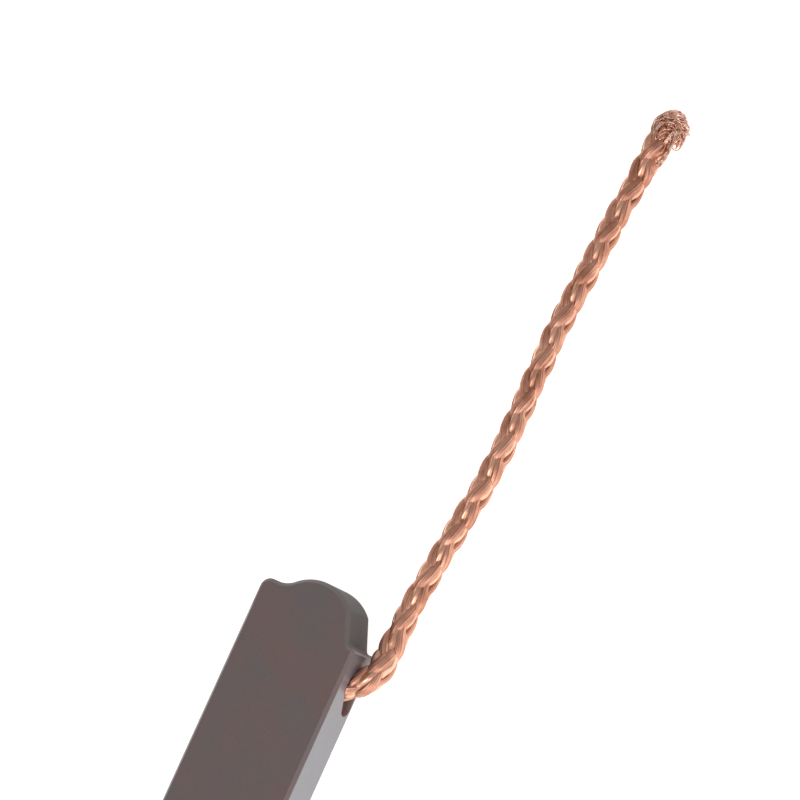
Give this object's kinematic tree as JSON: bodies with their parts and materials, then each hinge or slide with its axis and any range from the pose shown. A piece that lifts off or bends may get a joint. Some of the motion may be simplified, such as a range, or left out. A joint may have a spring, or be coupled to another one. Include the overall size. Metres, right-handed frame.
{
  "type": "carbon brush",
  "caption": "Rectangular carbon brush with an arched head between two shoulders and a bare braided copper lead tamped into its narrow side.",
  "frame": {"origin": "under the middle of the carbon block, on its lower broad face", "axes": "+Y along the block's length from the wear face to the head, +Z through its thickness, +X across its width to the narrow side that the lead leaves"},
  "size_m": [0.02, 0.0919, 0.005],
  "materials": {
    "carbon": "pressed and ground graphite, dull with a soft sheen at low angles",
    "tamping": "tamped copper and graphite powder, grainy and dark",
    "copper_braid": "bare fine copper wires, braided, softly shining"
  },
  "bodies": {
    "root": {"carbon_block": "carbon", "tamped_powder": "tamping", "braided_lead": "copper_braid"}
  },
  "joints": []
}
